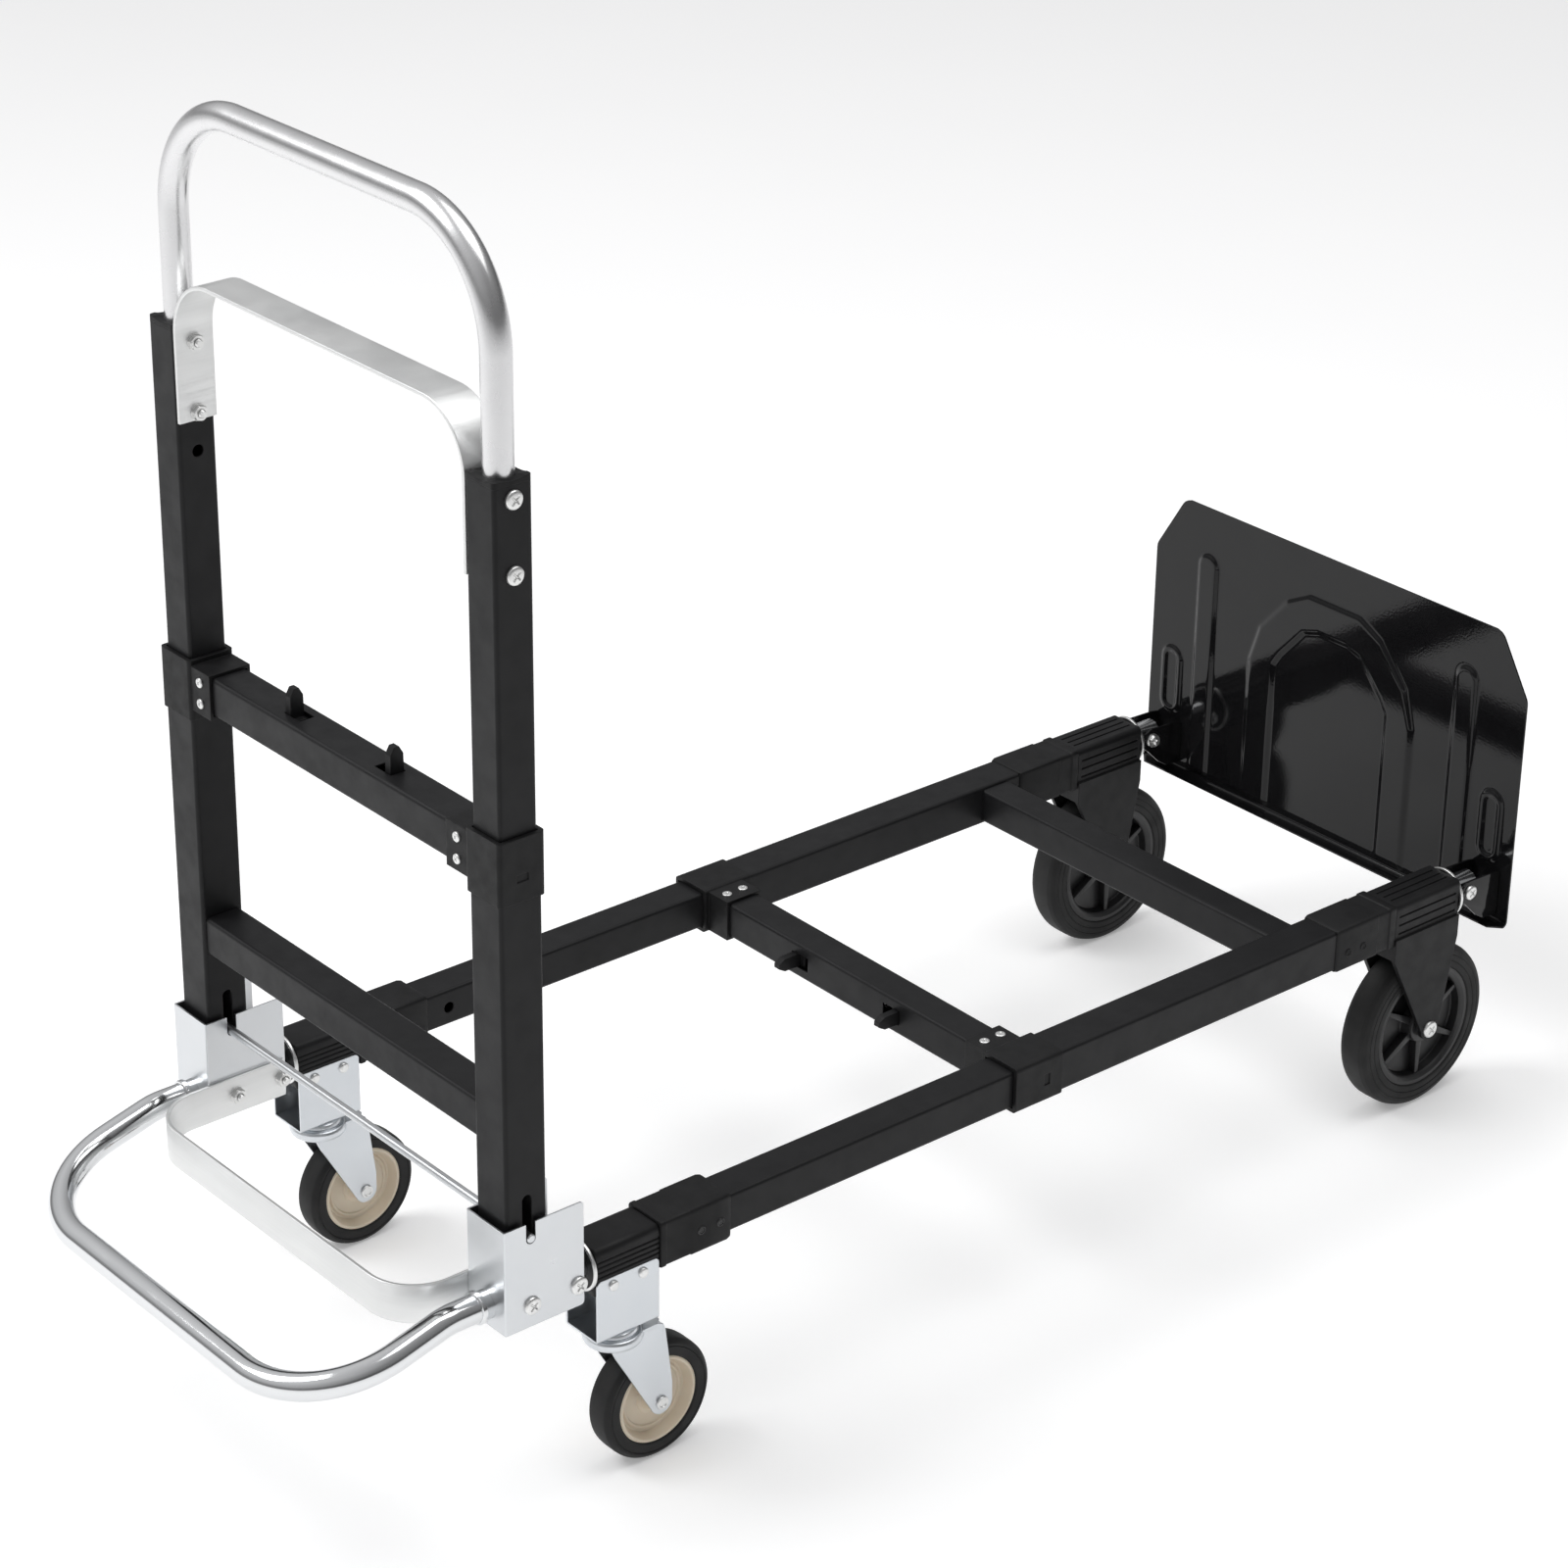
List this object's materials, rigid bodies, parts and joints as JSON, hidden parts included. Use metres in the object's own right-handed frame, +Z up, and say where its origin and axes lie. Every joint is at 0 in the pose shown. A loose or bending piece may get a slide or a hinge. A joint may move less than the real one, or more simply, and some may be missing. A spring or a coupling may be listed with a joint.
{
  "type": "convertible hand truck",
  "caption": "Convertible hand truck with telescoping base, folding telescoping upright with push handle, folding toe plate, swivel casters and folding rear wheels.",
  "frame": {"origin": "middle of the whole outline, on the floor under the wheels", "axes": "+Z up, +X across the truck to its right side seen from the handle end, +Y along the base from the handle end to the toe plate end"},
  "size_m": [0.436, 1.2324, 1.001],
  "materials": {
    "tube_black": "fine textured satin black powder coat",
    "collar_plastic": "matte black moulded nylon",
    "zinc": "bright zinc-plated sheet steel",
    "loop_chrome": "polished chrome plate",
    "handle_chrome": "bright chrome plate with fine polishing lines",
    "strip_metal": "matte rolled flat bar",
    "screw_steel": "pale zinc-plated fasteners",
    "black_screw": "black oxide screws",
    "spring_steel": "spring wire",
    "ring_metal": "pale zinc-plated washers",
    "caster_steel": "zinc-plated pressed steel",
    "rim_plastic": "beige moulded wheel centre",
    "tyre_rubber": "black rubber tread",
    "hub_plastic": "black moulded wheel centre",
    "fork_plastic": "black moulded nylon",
    "toe_gloss": "gloss black paint on pressed sheet",
    "latch_plastic": "black moulded squeeze tabs"
  },
  "bodies": {
    "chassis": {"outer_rails": "tube_black", "rear_cross_tube": "tube_black", "mid_collars": "collar_plastic", "rear_collars": "collar_plastic", "base_latch_bar": "tube_black", "base_latch_rivets": "screw_steel", "base_latch_springs": "spring_steel", "rear_stub_tubes": "loop_chrome", "stub_bushes": "collar_plastic", "rear_rings": "ring_metal"},
    "front_frame": {"inner_rails": "tube_black", "end_collars": "collar_plastic", "end_collar_screws": "black_screw", "front_loop": "loop_chrome", "hinge_brackets": "zinc", "lower_strip": "strip_metal", "bracket_bolts": "screw_steel", "front_rings": "ring_metal", "leg_bushes": "collar_plastic"},
    "upright": {"lower_uprights": "tube_black", "lower_cross_tube": "tube_black", "upright_collars": "collar_plastic", "upright_latch_bar": "tube_black", "upright_latch_screws": "screw_steel", "upright_latch_springs": "spring_steel", "foot_plugs": "collar_plastic"},
    "handle": {"upper_uprights": "tube_black", "end_plugs": "collar_plastic", "push_handle": "handle_chrome", "upper_strip": "strip_metal", "handle_bolts": "screw_steel"},
    "rod": {"lock_rod": "zinc"},
    "toe": {"toe_plate": "toe_gloss", "toe_bolts": "screw_steel"},
    "caster_mount_right": {"caster_sleeve_right": "fork_plastic", "caster_bracket_right": "caster_steel", "caster_hardware_right": "screw_steel"},
    "caster_swivel_right": {"caster_fork_right": "caster_steel", "caster_axle_right": "screw_steel"},
    "caster_wheel_right": {"caster_rim_right": "rim_plastic", "caster_tyre_right": "tyre_rubber"},
    "rear_fork_right": {"rear_fork_right": "fork_plastic", "rear_axle_right": "screw_steel"},
    "rear_wheel_right": {"rear_hub_right": "hub_plastic", "rear_tyre_right": "tyre_rubber"},
    "base_latch_right": {"base_latch_right": "latch_plastic"},
    "upright_latch_right": {"upright_latch_right": "latch_plastic"},
    "caster_mount_left": {"caster_sleeve_left": "fork_plastic", "caster_bracket_left": "caster_steel", "caster_hardware_left": "screw_steel"},
    "caster_swivel_left": {"caster_fork_left": "caster_steel", "caster_axle_left": "screw_steel"},
    "caster_wheel_left": {"caster_rim_left": "rim_plastic", "caster_tyre_left": "tyre_rubber"},
    "rear_fork_left": {"rear_fork_left": "fork_plastic", "rear_axle_left": "screw_steel"},
    "rear_wheel_left": {"rear_hub_left": "hub_plastic", "rear_tyre_left": "tyre_rubber"},
    "base_latch_left": {"base_latch_left": "latch_plastic"},
    "upright_latch_left": {"upright_latch_left": "latch_plastic"}
  },
  "joints": [
    {"name": "base_slide", "type": "slide", "parent": "chassis", "child": "front_frame", "axis": [0, 1, 0], "range_m": [0, 0.286]},
    {"name": "upright_fold", "type": "hinge", "parent": "front_frame", "child": "upright", "pos_m": [0, -0.42525, 0.246], "axis": [-1, 0, 0], "range_deg": [0, 90]},
    {"name": "handle_slide", "type": "slide", "parent": "upright", "child": "handle", "axis": [0, 0, -1], "range_m": [0, 0.183]},
    {"name": "rod_lift", "type": "slide", "parent": "upright", "child": "rod", "axis": [0, 0, -1], "range_m": [-0.02, 0]},
    {"name": "caster_fold_right", "type": "hinge", "parent": "front_frame", "child": "caster_mount_right", "pos_m": [0.191, -0.33525, 0.19], "axis": [0, 1, 0], "range_deg": [0, 90]},
    {"name": "caster_turn_right", "type": "hinge", "parent": "caster_mount_right", "child": "caster_swivel_right", "pos_m": [0.191, -0.33525, 0.11], "axis": [0, 0, 1], "continuous": true},
    {"name": "caster_roll_right", "type": "hinge", "parent": "caster_swivel_right", "child": "caster_wheel_right", "pos_m": [0.191, -0.30125, 0.05], "axis": [1, 0, 0], "continuous": true},
    {"name": "caster_fold_left", "type": "hinge", "parent": "front_frame", "child": "caster_mount_left", "pos_m": [-0.191, -0.33525, 0.19], "axis": [0, -1, 0], "range_deg": [0, 90]},
    {"name": "caster_turn_left", "type": "hinge", "parent": "caster_mount_left", "child": "caster_swivel_left", "pos_m": [-0.191, -0.33525, 0.11], "axis": [0, 0, 1], "continuous": true},
    {"name": "caster_roll_left", "type": "hinge", "parent": "caster_swivel_left", "child": "caster_wheel_left", "pos_m": [-0.191, -0.30125, 0.05], "axis": [1, 0, 0], "continuous": true},
    {"name": "toe_fold", "type": "hinge", "parent": "chassis", "child": "toe", "pos_m": [0, 0.57775, 0.19], "axis": [1, 0, 0], "range_deg": [0, 90]},
    {"name": "rear_fold_right", "type": "hinge", "parent": "chassis", "child": "rear_fork_right", "pos_m": [0.191, 0.51975, 0.19], "axis": [0, 1, 0], "range_deg": [0, 90]},
    {"name": "rear_roll_right", "type": "hinge", "parent": "rear_fork_right", "child": "rear_wheel_right", "pos_m": [0.191, 0.53375, 0.075], "axis": [1, 0, 0], "continuous": true},
    {"name": "base_latch_right", "type": "slide", "parent": "chassis", "child": "base_latch_right", "axis": [-1, 0, 0], "range_m": [0, 0.01], "stiffness_N_per_m": 300},
    {"name": "upright_latch_right", "type": "slide", "parent": "upright", "child": "upright_latch_right", "axis": [-1, 0, 0], "range_m": [0, 0.01], "stiffness_N_per_m": 300},
    {"name": "rear_fold_left", "type": "hinge", "parent": "chassis", "child": "rear_fork_left", "pos_m": [-0.191, 0.51975, 0.19], "axis": [0, -1, 0], "range_deg": [0, 90]},
    {"name": "rear_roll_left", "type": "hinge", "parent": "rear_fork_left", "child": "rear_wheel_left", "pos_m": [-0.191, 0.53375, 0.075], "axis": [1, 0, 0], "continuous": true},
    {"name": "base_latch_left", "type": "slide", "parent": "chassis", "child": "base_latch_left", "axis": [1, 0, 0], "range_m": [0, 0.01], "stiffness_N_per_m": 300},
    {"name": "upright_latch_left", "type": "slide", "parent": "upright", "child": "upright_latch_left", "axis": [1, 0, 0], "range_m": [0, 0.01], "stiffness_N_per_m": 300}
  ],
  "couplings": [
    {"joint": "rear_fold_right", "follows": "toe_fold", "ratio": 1},
    {"joint": "rear_fold_left", "follows": "toe_fold", "ratio": 1}
  ]
}
